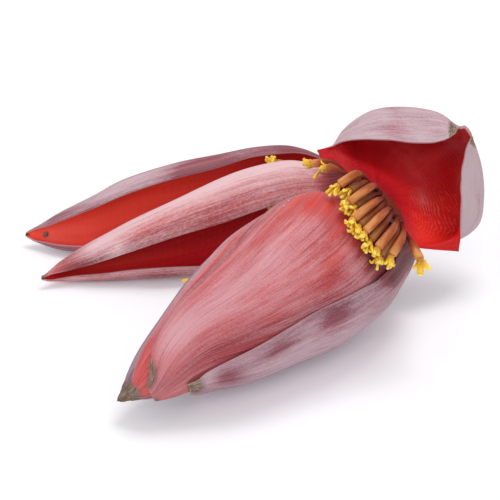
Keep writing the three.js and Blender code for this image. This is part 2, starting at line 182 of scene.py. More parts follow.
# The ridge under it: [angle round the axis, distance from the crown].
FRONT_RIDGE = [
    [-30, -2],
    [-12, 1.3],
    [8, 6],
    [19, 9.5],
    [31, 15.6],
    [42, 19.5],
    [60, 20.5],
    [82, 21.5],
]
RIDGE_TOP = 31.0  # the ridge's least distance from the axis
RIDGE_HEIGHT = 3.5  # and its least height
LEFT_FRONT_HAND = [
    [[53, -6, 62], [34, 2, 59], [14, 6, 52], [7, 7, 48]],
    [[53, -8, 58], [37, -2, 51], [18, 0, 43], [11, 0, 39]],
    [[53, -11, 54], [36, -8, 45], [17, -7, 35], [10, -7, 31]],
    [[53, -5, 56], [38, 5, 46], [21, 9, 37], [14, 10, 33]],
    [[53, -9, 51], [38, 0, 37], [21, 1, 28], [14, 1, 25]],
    [[53, -14, 49], [26, -25, 30], [-4, -34, 12], [-12, -35.5, 10]],
]
LEFT_BACK_HAND = [
    [[51, 12.5, 60], [35, 33.5, 52], [17, 42, 51], [10, 42, 56]],
    [[51, 12, 58], [35, 34, 46], [14, 46, 42], [7, 48, 39]],
    [[51, 11.5, 56], [35.5, 33, 42], [17, 42, 34], [10, 43, 31]],
]
HANGING_STYLE = [[-5, -54, 39], [-3.5, -62, 40], [-0.4, -66.7, 40]]
GROUND_STYLE = [[-4, -34, 12], [-24, -36.5, 8.5], [-44.7, -38.5, 6.8]]

# ---- Painting of the bracts ------------------------------------------------------------------------
# Each patch is (place across, place along, size across, size along, strength), with the place across a
# bract from -1 to 1 and along it from 0 to 1. Wax is the pale bloom, flush the orange red, dry the
# withered tissue and mauve the purple tint. Strong patches of mauve or flush, and patches that take the
# wax off, laid beside the flowers or in a fold, are painted shade, and some wax along a lit ridge is a
# painted highlight. "all" is the amount everywhere.

PAINT = {
    "front": {
        "wax": {"all": 0.39, "patches": [(0.0, 0.33, 0.2, 0.1, -0.25), (-0.5, 0.62, 0.3, 0.25, 0.3),
                                        (-0.6, 0.84, 0.35, 0.07, 0.35),
                                        (0.3, 0.35, 0.2, 0.2, 0.25), (0.1, 0.24, 0.3, 0.06, 0.25),
                                        (-0.55, 0.1, 0.45, 0.12, -0.8), (-0.75, 0.45, 0.12, 0.2, -0.15),
                                        (0.25, 0.73, 0.2, 0.12, -0.3), (0.5, 0.04, 0.5, 0.12, -1.0)]},
        "flush_and_shade": {"all": 0.1, "patches": [(-0.52, 0.1, 0.35, 0.1, 2.2), (-0.19, 0.67, 0.06, 0.16, 0.85),
                                          (-0.32, 0.52, 0.04, 0.12, 0.7), (-0.42, 0.36, 0.03, 0.1, 0.6),
                                          (0.0, 0.4, 0.5, 0.2, 0.25), (-0.3, 0.92, 0.4, 0.08, 0.35),
                                          (-0.3, 0.27, 0.03, 0.01, 1.0), (-0.72, 0.26, 0.15, 0.12, 0.4)]},
        "dry": {"all": 0, "patches": [(-0.95, 0.97, 0.5, 0.035, 1.0), (1.0, 1.0, 0.8, 0.02, 0.8)]},
        # Painted shade: the strong mauve at (0.2, 0.12) and (0.6, 0.04), with the wax taken off at (0.5,
        # 0.04), darkens the base to deep crimson in the shade of the flowers, and the mauve line at (-0.98,
        # 0.55) is painted shade along the margin where it overlies the inner bract.
        "mauve_and_shade": {"all": 0.08, "patches": [(0.25, 0.32, 0.35, 0.2, 0.5), (0.25, 0.75, 0.35, 0.3, 0.6),
                                           (0.2, 0.12, 0.4, 0.06, 1.1), (0.6, 0.04, 0.5, 0.1, 1.6),
                                           (-0.98, 0.55, 0.05, 0.5, 0.7), (-0.4, 0.97, 0.5, 0.04, 0.5)]},
    },
    "inner": {
        "wax": {"all": 0.23, "patches": [(-1.0, 0.5, 0.14, 0.6, 0.5)]},
        "flush_and_shade": {"all": 0.5, "patches": [(-0.7, 0.6, 0.2, 0.3, 0.25)]},
        "dry": {"all": 0, "patches": [(0.0, 1.0, 2.0, 0.03, 1.0)]},
        "mauve_and_shade": {"all": 0.0, "patches": [(-1.0, 0.5, 0.1, 0.6, 0.6)]},
    },
    "under": {
        # Painted shade: the patches at (-1.0, 0.0) take off the wax and the mauve and lay on the dark
        # crimson flush, for the shade in the fold tucked under the crown.
        "wax": {"all": 0.57, "patches": [(-0.5, 0.55, 0.25, 0.3, 0.3), (-0.85, 0.45, 0.14, 0.08, -0.5),
                                        (-0.62, 0.87, 0.22, 0.06, -0.6), (-0.82, 0.7, 0.12, 0.06, -0.4),
                                        (-1.0, 0.0, 0.14, 0.11, -12.0), (-0.75, 0.93, 0.3, 0.04, 0.3)]},
        "flush_and_shade": {"all": 0.0, "patches": [(-1.0, 0.0, 0.14, 0.11, 12.0), (-0.6, 0.84, 0.2, 0.05, 0.2)]},
        "dry": {"all": 0, "patches": [(-0.6, 1.0, 1.0, 0.05, 1.0)]},
        "mauve_and_shade": {"all": 0.45, "patches": [(-1.0, 0.0, 0.14, 0.11, -12.0)]},
    },
    "left_front": {
        # Painted highlight: the wax along the upper ridge at (-0.5, 0.55) is wax bloom, thickened along the
        # top where the light falls. Painted shade: at (-0.6, 0.9), near the base by the flowers, the wax is
        # taken off and deep mauve laid on.
        "wax": {"all": 0.41, "patches": [(-0.85, 0.17, 0.4, 0.07, -0.3), (-0.5, 0.55, 0.25, 0.3, 0.6),
                                        (-0.68, 0.27, 0.14, 0.05, 0.45), (-0.9, 0.33, 0.1, 0.03, 0.3),
                                         (-0.6, 0.9, 0.8, 0.06, -1.5),
                                         (-0.85, 0.5, 0.1, 0.15, -0.2)]},
        "flush_and_shade": {"all": 0.05, "patches": [(-0.75, 0.42, 0.12, 0.07, 0.5), (-0.8, 0.8, 0.25, 0.08, 0.5)]},
        "dry": {"all": 0, "patches": [(0.0, 0.0, 3.0, 0.07, 1.0)]},
        "mauve_and_shade": {"all": 0.05, "patches": [(-0.85, 0.2, 0.35, 0.08, 0.6), (-0.97, 0.3, 0.1, 0.13, 0.7),
                                           (-1.0, 0.55, 0.04, 0.4, 0.5),
                                           (-0.6, 0.9, 0.7, 0.07, 1.5), (0.8, 0.4, 0.5, 0.5, 0.7)]},
    },
    "left_back": {
        "wax": {"all": 0.26, "patches": [(-0.8, 0.36, 0.2, 0.12, 0.65), (-0.85, 0.14, 0.2, 0.04, 0.2),
                                         (-0.9, 0.48, 0.2, 0.05, -0.5), (-0.9, 0.8, 0.4, 0.12, -0.4)]},
        "flush_and_shade": {"all": 0.0, "patches": [(-0.9, 0.35, 0.1, 0.15, 0.2)]},
        "dry": {"all": 0, "patches": [(0.0, 0.0, 3.0, 0.07, 1.0)]},
        "mauve_and_shade": {"all": 0.45, "patches": []},
    },
    "hood": {
        "wax": {"all": 0.75, "patches": [(0.9, 0.5, 0.15, 0.3, 0.3), (-0.9, 0.5, 0.06, 0.08, -0.35),
                                         (-0.7, 0.55, 0.12, 0.05, -0.3), (0.85, 0.6, 0.1, 0.1, -0.2)]},
        "flush_and_shade": {"all": 0.1, "patches": []},
        "dry": {"all": 0, "patches": [(-0.95, 0.95, 0.4, 0.07, 0.9), (0.95, 0.95, 0.3, 0.07, 0.9)]},
        "mauve_and_shade": {"all": 0.15, "patches": [(-0.75, 0.45, 0.2, 0.15, 0.3)]},
    },
}

# Where a hugging bract stands away from the bud: the same patches, in millimetres.
LIFTS = {
    "front": [(-1.0, 0.955, 0.3, 0.03, 2.0), (-0.4, 0.985, 0.2, 0.02, 0.4)],
    "inner": [],
    "under": [(-0.95, 0.965, 0.5, 0.022, 1.5)],
}

# Inner faces: the first channel runs from deep crimson to bright red; besides the lining's own red it holds
# painted light and shade, brighter where the light falls and darker at the base under the flowers. Ripple
# is the height of the ripples that cross the veins, and sheen a painted pinkish highlight.
LINING = {
    "hood": {
        # Painted light and shade: the lining is made brighter at the lower right, where the light falls,
        # and darker at its base, under the flowers.
        "tone_and_light": {"all": 0.4, "patches": [(0.6, 0.12, 0.3, 0.12, 0.6), (0.1, 0.75, 0.4, 0.2, -0.3),
                                          (0.42, 0.35, 0.25, 0.22, 0.35),
                                          (-0.4, 0.3, 0.3, 0.2, -0.2), (0.05, 0.05, 0.45, 0.1, -0.4)]},
        "ripple": {"all": 0.08, "patches": [(0.42, 0.3, 0.22, 0.2, 0.9), (-0.7, 0.15, 0.25, 0.15, 0.4)]},
        "dry": {"all": 0, "patches": [(-1.0, 0.97, 0.3, 0.06, 0.8), (1.0, 0.97, 0.3, 0.06, 0.8)]},
        # Painted highlight: the sheen patches lay a pale rosy highlight on the lining, strongest at (0.23,
        # 0.31).
        "sheen": {"all": 0.0, "patches": [(0.23, 0.31, 0.09, 0.06, 0.6), (-0.1, 0.45, 0.35, 0.15, 0.15),
                                          (0.1, 0.9, 0.5, 0.1, 0.5)]},
    },
    "left_front": {
        "tone_and_light": {"all": 0.38, "patches": [(0.8, 0.25, 0.8, 0.15, 0.35)]},
        "ripple": {"all": 0.08, "patches": []},
        "dry": {"all": 0, "patches": [(0.0, 0.0, 3.0, 0.035, 1.0)]},
        "sheen": {"all": 0.0, "patches": []},
    },
    "left_back": {
        "tone_and_light": {"all": 1.0, "patches": [(0.0, 0.8, 3.0, 0.25, -0.6)]},
        "ripple": {"all": 0.1, "patches": []},
        "dry": {"all": 0, "patches": [(0.0, 0.0, 3.0, 0.05, 1.0), (0.12, 0.148, 0.2, 0.02, 0.85),
                                      (-0.15, 0.26, 0.1, 0.03, 0.25)]},
        # Painted highlight: a pale rosy sheen near the tip, where the light falls on the lining.
        "sheen": {"all": 0.03, "patches": [(0.28, 0.2, 0.4, 0.1, 0.3)]},
    },
    "hugging": {
        "tone_and_light": {"all": 0.1, "patches": []},
        "ripple": {"all": 0.1, "patches": []},
        "dry": {"all": 0, "patches": [(0.0, 1.0, 3.0, 0.03, 1.0)]},
        "sheen": {"all": 0.0, "patches": []},
    },
}


def patched(patches, s, t):
    """The sum at (s, t) of soft patches (place across, place along, size across, size along, strength)."""
    total = 0.0
    for place_s, place_t, size_s, size_t, strength in patches:
        total += strength * math.exp(-((s - place_s) / size_s) ** 2 - ((t - place_t) / size_t) ** 2)
    return total


def amount(painting, s, t):
    return min(max(painting["all"] + patched(painting["patches"], s, t), 0.0), 1.0)


def outside_growth(name):
    paint = PAINT[name]
    return lambda s, t: tuple(amount(paint[key], s, t) for key in ("wax", "flush_and_shade", "dry", "mauve_and_shade"))


def inside_growth(name):
    paint = LINING[name]
    return lambda s, t: tuple(amount(paint[key], s, t) for key in ("tone_and_light", "ripple", "dry", "sheen"))


# ---- Curves and frames -----------------------------------------------------------------------------

def along(rows, t):
    """The values of the row at t, on smooth curves through the rows [t, value, value, ...]."""
    last = len(rows) - 1
    i = 0
    while i < last - 1 and t > rows[i + 1][0]:
        i += 1
    before, here, there, after = rows[max(i - 1, 0)], rows[i], rows[i + 1], rows[min(i + 2, last)]
    span = there[0] - here[0]
    x = (t - here[0]) / span
    lead_in = span / (there[0] - before[0])
    lead_out = span / (after[0] - here[0])
    shares = (2 * x**3 - 3 * x**2 + 1, x**3 - 2 * x**2 + x, 3 * x**2 - 2 * x**3, x**3 - x**2)
    return [
        shares[0] * here[k]
        + shares[1] * (there[k] - before[k]) * lead_in
        + shares[2] * there[k]
        + shares[3] * (after[k] - here[k]) * lead_out
        for k in range(1, len(here))
    ]


def line_frame(line, distance):
    """Centre, up and side directions of a line at a distance along it."""
    x, y, z = along(line, distance)[:3]
    ahead = Vector(along(line, distance + 0.5)[:3]) - Vector(along(line, distance - 0.5)[:3])
    ahead.normalize()
    up = (Vector((0, 0, 1)) - ahead * ahead.z).normalized()
    return Vector((x, y, z)), up, up.cross(ahead)


@lru_cache(maxsize=None)
def axis_frame(distance):
    return line_frame(AXIS, distance)


@lru_cache(maxsize=None)
def bud_radius(distance):
    return along(AXIS, distance)[3]


def turned(line_place, angle, radius):
    """The point at an angle from the top and a radius round a place on a line."""
    centre, up, side = line_place
    turn = math.radians(angle)
    return centre + up * (radius * math.cos(turn)) + side * (radius * math.sin(turn))


def around(distance, angle, radius):
    return turned(axis_frame(distance), angle, radius)


def metres(point):
    return (point - CENTRE) * MM


def taper(s):
    return 1 - (1 - THIN_MARGIN) * s**4


def wobble(x, y, seed):
    """Smooth noise from -1 to 1, the same on each run."""
    return noise.noise(Vector((x, y, seed)))


# ---- Making pieces ---------------------------------------------------------------------------------

def new_mesh():
    mesh = bmesh.new()
    mesh.verts.layers.float_vector.new("grain")
    mesh.verts.layers.float_color.new("growth")
    return mesh


def mark(mesh, vertex, grain, growth):
    """Gives a vertex its place in the skin's grain, in metres, and how it has grown."""
    vertex[mesh.verts.layers.float_vector["grain"]] = Vector(grain) * MM
    vertex[mesh.verts.layers.float_color["growth"]] = Vector(growth)


def finish_piece(name, mesh, materials, node=None):
    """Makes a piece of the mesh, with its materials, in place of a node if one is given."""
    bmesh.ops.recalc_face_normals(mesh, faces=mesh.faces)
    for face in mesh.faces:
        face.smooth = True
    data = bpy.data.meshes.new(name)
    mesh.to_mesh(data)
    mesh.free()
    for material in materials:
        data.materials.append(material)
    piece = bpy.data.objects.new(name, data)
    bpy.context.collection.objects.link(piece)
    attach(piece, "root")
    if node:
        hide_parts(node)
    return piece


OUTSIDE, INSIDE, MARGIN = 0, 1, 2  # material slots of a bract


def sheet(across, lengthwise, outer, inner, outside, inside, width, length, seed, fan=None):
    """A thin closed sheet: a flat grid, thickened by extrusion, then laid on its outer and inner faces.
    Its columns stand closer together towards its margins. Its grain runs along it or, on the inner face
    of a broad bract, fans out from a place fan millimetres along it."""
    crowding = 0.25
    fan_radius = 60
    mesh = new_mesh()
    bmesh.ops.create_grid(mesh, x_segments=across, y_segments=lengthwise, size=1)
    raised = bmesh.ops.extrude_face_region(mesh, geom=mesh.faces[:], use_keep_orig=True)["geom"]
    outer_points = {v for v in raised if isinstance(v, bmesh.types.BMVert)}
    for face in mesh.faces:
        raised_corners = sum(v in outer_points for v in face.verts)
        at_base = all(v.co.y < -0.999 for v in face.verts)
        if raised_corners == 4:
            face.material_index = OUTSIDE
        elif raised_corners == 0 or (at_base and fan is not None):
            face.material_index = INSIDE
        else:
            face.material_index = MARGIN
    for vertex in mesh.verts:
        s, t = vertex.co.x, (vertex.co.y + 1) / 2
        s += crowding * (s - s**3)
        is_outer = vertex in outer_points
        vertex.co = metres((outer if is_outer else inner)(s, t))
        growth = (outside if is_outer else inside)(s, t)
        grain = Vector((s * width / 2, t * length, seed))
        if fan is not None and not is_outer:
            ahead = grain.y - fan
            grain.x, grain.y = fan_radius * math.atan2(grain.x, ahead), math.hypot(grain.x, ahead)
        mark(mesh, vertex, grain, growth)
    bmesh.ops.remove_doubles(mesh, verts=mesh.verts, dist=1e-6)
    return mesh


def round_body(sides, rings, place, mesh=None, material=0):
    """A closed round form: a ball whose polar angle becomes the way along it, t from 0 to 1.
    place(t, turn) gives each point, its grain and its growth."""
    mesh = mesh or new_mesh()
    made = bmesh.ops.create_uvsphere(mesh, u_segments=sides, v_segments=rings, radius=1)["verts"]
    for vertex in made:
        t = math.acos(min(max(vertex.co.z, -1), 1)) / math.pi
        turn = math.atan2(vertex.co.y, vertex.co.x)
        point, grain, growth = place(t, turn)
        vertex.co = metres(point)
        mark(mesh, vertex, grain, growth)
    for face in {face for vertex in made for face in vertex.link_faces}:
        face.material_index = material
    return mesh


def path_frames(points, steps, across=None):
    """Places and cross directions at even steps along a smooth curve through the points."""
    rows = [[0.0, *points[0]]]
    for before, here in zip(points, points[1:]):
        rows.append([rows[-1][0] + (here - before).length, *here])
    length = rows[-1][0]
    places = [Vector(along(rows, length * k / steps)) for k in range(steps + 1)]
    frames = []
    for k, place in enumerate(places):
        ahead = (places[min(k + 1, steps)] - places[max(k - 1, 0)]).normalized()
        if across is None:
            across = ahead.orthogonal()
        across = (across - ahead * across.dot(ahead)).normalized()
        frames.append((place, across, ahead.cross(across)))
    return frames, length


def bar(mesh, points, sides, rings, radius_at, growth_at, seed, material=0, flatness=1.0, corners=0.0,
        across=None):
    """A bar with rounded ends along a curve, with radius radius_at(t). It has six faint corners, and is
    flattened in the direction across."""
    frames, length = path_frames(points, rings, across)
    cap = min(0.45, 0.9 * radius_at(0.5) / length)

    def place(t, turn):
        centre, flat, over = frames[round(t * rings)]
        to_end = min(t, 1 - t) / cap
        end = 0.0 if to_end < 1e-6 else math.sqrt(1 - (1 - min(to_end, 1)) ** 2)
        radius = radius_at(t) * end * (1 + corners * math.cos(6 * turn))
        offset = flat * math.cos(turn) * flatness + over * math.sin(turn)
        grain = (3 * math.cos(turn) + seed * 17.3, t * length, 3 * math.sin(turn) + seed * 5.1)
        return centre + offset * radius, grain, growth_at(t)

    return round_body(sides, rings, place, mesh, material)


# ---- Materials -------------------------------------------------------------------------------------

def colour(code):
    """A linear colour from an sRGB hex value."""
    parts = [((code >> shift) & 255) / 255 for shift in (16, 8, 0)]
    return [p / 12.92 if p <= 0.04045 else ((p + 0.055) / 1.055) ** 2.4 for p in parts] + [1.0]


def add(tree, kind, inputs=(), stops=(), **settings):
    """Adds a node with its settings and links. Its inputs are listed in order or keyed by socket, and
    each is a value, a socket or a node that feeds it. Stops are a ramp's places and colours."""
    made = tree.nodes.new("ShaderNode" + kind)
    for key, value in settings.items():
        setattr(made, key, value)
    keyed = inputs if isinstance(inputs, dict) else dict(enumerate(inputs))
    for key, value in keyed.items():
        if isinstance(value, bpy.types.Node):
            value = next(socket for socket in value.outputs if socket.enabled)
        if isinstance(value, bpy.types.NodeSocket):
            tree.links.new(value, made.inputs[key])
        else:
            made.inputs[key].default_value = value
    for index, (place, code) in enumerate(stops):
        elements = made.color_ramp.elements
        stop = elements[index] if index < len(elements) else elements.new(place)
        stop.position = place
        stop.color = colour(code)
    return made


def start_material(name):
    """A new material, its nodes, the grain's place, and the four channels of growth."""
    material = bpy.data.materials.new(name)
    material.use_nodes = True
    tree = material.node_tree
    tree.nodes.clear()
    grain = add(tree, "Attribute", attribute_name="grain").outputs["Vector"]
    growth = add(tree, "Attribute", attribute_name="growth").outputs
    channels = add(tree, "SeparateColor", [growth["Color"]]).outputs
    return material, tree, grain, [*channels, growth["Alpha"]]


def pattern(tree, grain, across_mm, along_mm, detail=3.0, roughness=0.55, shift=0.0):
    """Noise whose features are across_mm wide and along_mm long in the skin's grain."""
    scale = (1 / (across_mm * MM), 1 / (along_mm * MM), 1 / (across_mm * MM))
    place = add(tree, "Mapping", {"Vector": grain, "Location": (shift, 0, 0), "Scale": scale})
    return add(tree, "TexNoise", {"Vector": place, "Scale": 1.0, "Detail": detail, "Roughness": roughness})


def close_material(material, tree, base, roughness, height, depth_mm, strength=0.5, **fixed):
    """Ends a material with its bump, depth_mm deep, and its shader, whose other sockets are in fixed."""
    bump = add(tree, "Bump", {"Strength": strength, "Distance": depth_mm * MM, "Height": height})
    inputs = {"Base Color": base, "Roughness": roughness, "Normal": bump}
    inputs.update({key.replace("_", " "): value for key, value in fixed.items()})
    add(tree, "OutputMaterial", [add(tree, "BsdfPrincipled", inputs)])
    return material


def waxy_bract_skin(name, dark, middle, light, mauve_and_shade, wax, flush_and_shade, shine=0.26):
    """The outside of a bract: leathery plant skin, streaked lengthwise by its veins and dusted with a
    pale wax that rubs off in specks and patches; the withered tips are tan and dark brown."""
    material, tree, grain, (wax_amount, flush_and_shade_amount, dry_amount, mauve_and_shade_amount) = start_material(name)
    broad = pattern(tree, grain, 5.0, 120.0, detail=2.0)
    streak = pattern(tree, grain, 1.7, 75.0, detail=3.0, roughness=0.6, shift=9.0)
    fine = pattern(tree, grain, 0.7, 40.0, detail=2.0, shift=31.0)
    mottle = pattern(tree, grain, 6.0, 26.0, detail=6.0, roughness=0.68, shift=4.0)
    speck = pattern(tree, grain, 0.9, 1.5, detail=3.0, roughness=0.7, shift=77.0)
    crinkle = pattern(tree, grain, 2.2, 4.0, detail=5.0, roughness=0.7, shift=13.0)

    # The skin's own colour, red along some veins and purple between them. Where a bract's paint lays on
    # strong flush or mauve, the same mixes paint shade in a deep crimson.
    lines = add(tree, "Math", [streak, 0.45], operation="MULTIPLY")
    lines = add(tree, "Math", [broad, 0.55, lines], operation="MULTIPLY_ADD")
    base = add(tree, "ValToRGB", [lines], [(0.36, dark), (0.5, middle), (0.64, light)])
    red_lines = add(tree, "MapRange", [streak, 0.44, 0.58, 0.3, 1.0])
    flushed_and_shaded = add(tree, "Math", [flush_and_shade_amount, red_lines], operation="MULTIPLY", use_clamp=True)
    base = add(tree, "Mix", {0: flushed_and_shaded, 6: base, 7: colour(flush_and_shade)}, data_type="RGBA")
    dark_lines = add(tree, "MapRange", [lines, 0.62, 0.4, 0.5, 1.0])
    purple_and_shade = add(tree, "Math", [mauve_and_shade_amount, dark_lines], operation="MULTIPLY", use_clamp=True)
    base = add(tree, "Mix", {0: purple_and_shade, 6: base, 7: colour(mauve_and_shade)}, data_type="RGBA")

    # The wax lies on it as dust, thicker where the mottle, the specks and the veins are high.
    dust = add(tree, "Math", [speck, 1.1], operation="MULTIPLY")
    dust = add(tree, "Math", [mottle, 1.5, dust], operation="MULTIPLY_ADD")
    dust = add(tree, "Math", [dust, fine], operation="ADD")
    dust = add(tree, "Math", [dust, 2.1], operation="SUBTRACT")
    dust = add(tree, "Math", [wax_amount, 1.55, dust], operation="MULTIPLY_ADD")
    waxed = add(tree, "MapRange", [dust, 0.0, 1.0, 0.0, 0.88])
    base = add(tree, "Mix", {0: waxed, 6: base, 7: colour(wax)}, data_type="RGBA")
    hairline = add(tree, "MapRange", [fine, 0.36, 0.5, 0.92, 1.0])
    base = add(tree, "Mix", {0: 1.0, 6: base, 7: hairline}, data_type="RGBA", blend_type="MULTIPLY")

    # Withered tissue covers both, with a ragged edge.
    withered = add(
        tree, "ValToRGB", [crinkle],
        [(0.36, 0x33231F), (0.47, 0x6E584E), (0.57, 0xA28A78), (0.68, 0xC6B4A4)],
    )
    ragged = add(tree, "Math", [mottle, 0.5], operation="SUBTRACT")
    ragged = add(tree, "Math", [ragged, 1.2, dry_amount], operation="MULTIPLY_ADD")
    dried = add(tree, "MapRange", [ragged, 0.3, 0.62])
    base = add(tree, "Mix", {0: dried, 6: base, 7: withered}, data_type="RGBA")

    roughness = add(tree, "Math", [waxed, 0.25, 0.42], operation="MULTIPLY_ADD")
    roughness = add(tree, "Math", [dried, 0.2, roughness], operation="MULTIPLY_ADD", use_clamp=True)
    height = add(tree, "Math", [streak, 0.6], operation="MULTIPLY")
    height = add(tree, "Math", [fine, 0.5, height], operation="MULTIPLY_ADD")
    height = add(tree, "Math", [speck, 0.18, height], operation="MULTIPLY_ADD")
    wrinkles = add(tree, "Math", [crinkle, dried], operation="MULTIPLY")
    height = add(tree, "Math", [wrinkles, 3.0, height], operation="MULTIPLY_ADD")
    return close_material(material, tree, base, roughness, height, 0.35, Specular_IOR_Level=shine)


def crimson_bract_lining(name, deep, middle, bright, highlight_colour):
    """The inside of a bract: smooth moist crimson skin with a soft satin sheen, fine lengthwise veins,
    and shallow ripples that cross the veins. Painted highlights lie on the crests of the ripples and
    where the sheen is laid on, and its tone is partly painted light and shade."""
    material, tree, grain, (tone_and_light, ripple_amount, dry_amount, sheen) = start_material(name)
    ripple_spacing = 2.6
    broad = pattern(tree, grain, 9.0, 60.0, detail=3.0)
    vein = pattern(tree, grain, 0.9, 50.0, detail=2.0, shift=21.0)
    wander = pattern(tree, grain, 9.0, 11.0, detail=2.0, shift=40.0)
    broken = pattern(tree, grain, 2.0, 6.0, detail=3.0, shift=3.0)
    crinkle = pattern(tree, grain, 2.2, 4.0, detail=5.0, roughness=0.7, shift=13.0)

    clouds = add(tree, "Math", [broad, 0.5], operation="SUBTRACT")
    veins = add(tree, "Math", [vein, 0.5], operation="SUBTRACT")
    tone = add(tree, "Math", [clouds, 0.5, tone_and_light], operation="MULTIPLY_ADD")
    tone = add(tree, "Math", [veins, 0.35, tone], operation="MULTIPLY_ADD")
    base = add(tree, "ValToRGB", [tone], [(0.0, deep), (0.45, middle), (1.0, bright)])

    # The ripples are waves along the grain that wander a little and are broken into short dashes.
    way_along = add(tree, "SeparateXYZ", [grain]).outputs["Y"]
    turns = add(tree, "Math", [way_along, 1 / (ripple_spacing * MM)], operation="MULTIPLY")
    turns = add(tree, "Math", [wander, 3.0, turns], operation="MULTIPLY_ADD")
    waves = add(tree, "Math", [turns, 2 * math.pi], operation="MULTIPLY")
    waves = add(tree, "Math", [waves], operation="SINE")
    dash = add(tree, "MapRange", [broken, 0.4, 0.6])
    waves = add(tree, "Math", [waves, dash], operation="MULTIPLY")
    rippled = add(tree, "Math", [waves, ripple_amount], operation="MULTIPLY")
    # Painted highlight: a pale rosy colour is laid where the sheen is high and along the ripples' crests.
    uneven = add(tree, "MapRange", [wander, 0.35, 0.6, 0.5, 1.0])
    painted_highlight = add(tree, "Math", [sheen, uneven], operation="MULTIPLY")
    painted_highlight = add(tree, "Math", [rippled, 0.55, painted_highlight], operation="MULTIPLY_ADD", use_clamp=True)
    base = add(tree, "Mix", {0: painted_highlight, 6: base, 7: colour(highlight_colour)}, data_type="RGBA")

    withered = add(tree, "ValToRGB", [crinkle], [(0.36, 0x2E211C), (0.5, 0x5E4A3C), (0.64, 0xA08A6E)])
    ragged = add(tree, "Math", [clouds, 0.8, dry_amount], operation="MULTIPLY_ADD")
    dried = add(tree, "MapRange", [ragged, 0.35, 0.65])
    base = add(tree, "Mix", {0: dried, 6: base, 7: withered}, data_type="RGBA")
    height = add(tree, "Math", [vein, 0.35], operation="MULTIPLY")
    height = add(tree, "Math", [rippled, 0.7, height], operation="MULTIPLY_ADD")
    return close_material(material, tree, base, 0.5, height, 0.3, 0.55, Specular_IOR_Level=0.2)


def dried_margin(name, fresh, withered):
    """The cut-thin edge of a bract, a little paler than its faces, tan where it has dried."""
    material, tree, grain, (_, _, dry_amount, _) = start_material(name)
    patch = pattern(tree, grain, 2.0, 6.0, detail=4.0)
    ragged = add(tree, "Math", [patch, 0.5], operation="SUBTRACT")
    ragged = add(tree, "Math", [ragged, 0.8, dry_amount], operation="MULTIPLY_ADD")
    dried = add(tree, "MapRange", [ragged, 0.15, 0.5])
    base = add(tree, "Mix", {0: dried, 6: colour(fresh), 7: colour(withered)}, data_type="RGBA")
    return close_material(material, tree, base, 0.55, patch, 0.2, 0.4)


def fleshy_flower_tube(name):
    """The finger of a flower: firm, satin and faintly ribbed, brown red at the root and paling to a
    warm orange at its end."""
    material, tree, grain, (way, shade, _, _) = start_material(name)
    rib = pattern(tree, grain, 1.1, 22.0, detail=3.0)
    blotch = pattern(tree, grain, 5.0, 14.0, detail=4.0, shift=8.0)
    ribs = add(tree, "Math", [rib, 0.5], operation="SUBTRACT")
    blotches = add(tree, "Math", [blotch, 0.5], operation="SUBTRACT")
    tone = add(tree, "Math", [ribs, 0.35, way], operation="MULTIPLY_ADD")
    tone = add(tree, "Math", [blotches, 0.6, tone], operation="MULTIPLY_ADD")
    base = add(
        tree, "ValToRGB", [tone],
        [(0.1, 0x4E120A), (0.45, 0x7E2E1A), (0.75, 0xAA562E), (1.0, 0xD89658)],
    )
    # Painted shade: where the shade channel is high, on the lower row of a hand and on the ridges under the
    # fingers, the finger is darkened towards a deep brown.
    base = add(tree, "Mix", {0: shade, 6: base, 7: colour(0x561409)}, data_type="RGBA")
    height = add(tree, "Math", [blotch, 0.3], operation="MULTIPLY")
    height = add(tree, "Math", [rib, 0.8, height], operation="MULTIPLY_ADD")
    return close_material(
        material, tree, base, 0.48, height, 0.3, Specular_IOR_Level=0.15, Subsurface_Weight=0.1,
        Subsurface_Radius=(0.003, 0.001, 0.0006), Subsurface_Scale=1.0,
    )


def waxy_yellow_lobe(name):
    """The lobed mouth of a flower: waxy, bright yellow, paler at its lips, partly a painted highlight, and
    amber in its folds, partly painted shade.
    """
    material, tree, grain, (way, _, _, _) = start_material(name)
    cloud = pattern(tree, grain, 1.6, 2.6, detail=4.0)
    tone = add(tree, "Math", [cloud, 0.5], operation="SUBTRACT")
    tone = add(tree, "Math", [tone, 0.9, way], operation="MULTIPLY_ADD")
    # Painted highlight and shade: the lobe pales to a light yellow towards its lip and deepens to amber at
    # its root, in the folds.
    base = add(
        tree, "ValToRGB", [tone],
        [(0.0, 0xA85A10), (0.35, 0xE0A018), (0.65, 0xF6C628), (1.0, 0xFBE26A)],
    )
    return close_material(
        material, tree, base, 0.38, cloud, 0.4, 0.6, Subsurface_Weight=0.2,
        Subsurface_Radius=(0.004, 0.003, 0.001), Subsurface_Scale=1.0,
    )


def cut_stalk_flesh(name):
    """The stump of the stalk: pale green, fibrous and matt, browned round its cut."""
    material, tree, grain, (brown, _, _, _) = start_material(name)
    fibre = pattern(tree, grain, 0.9, 14.0, detail=4.0)
    blotch = pattern(tree, grain, 6.0, 9.0, detail=4.0, shift=5.0)
    base = add(tree, "ValToRGB", [fibre], [(0.34, 0x8E8A58), (0.5, 0xBDB780), (0.66, 0xDCD6A8)])
    ragged = add(tree, "Math", [blotch, 0.5], operation="SUBTRACT")
    ragged = add(tree, "Math", [ragged, 0.9, brown], operation="MULTIPLY_ADD")
    browned = add(tree, "MapRange", [ragged, 0.3, 0.8])
    base = add(tree, "Mix", {0: browned, 6: base, 7: colour(0x8A6038)}, data_type="RGBA")
    return close_material(material, tree, base, 0.65, fibre, 0.4, 0.6)


def plain_material(name, **fixed):
    """A material that is the same all over."""
    material = bpy.data.materials.new(name)
    material.use_nodes = True
    tree = material.node_tree
    tree.nodes.clear()
    inputs = {key.replace("_", " "): value for key, value in fixed.items()}
    add(tree, "OutputMaterial", [add(tree, "BsdfPrincipled", inputs)])
    return material


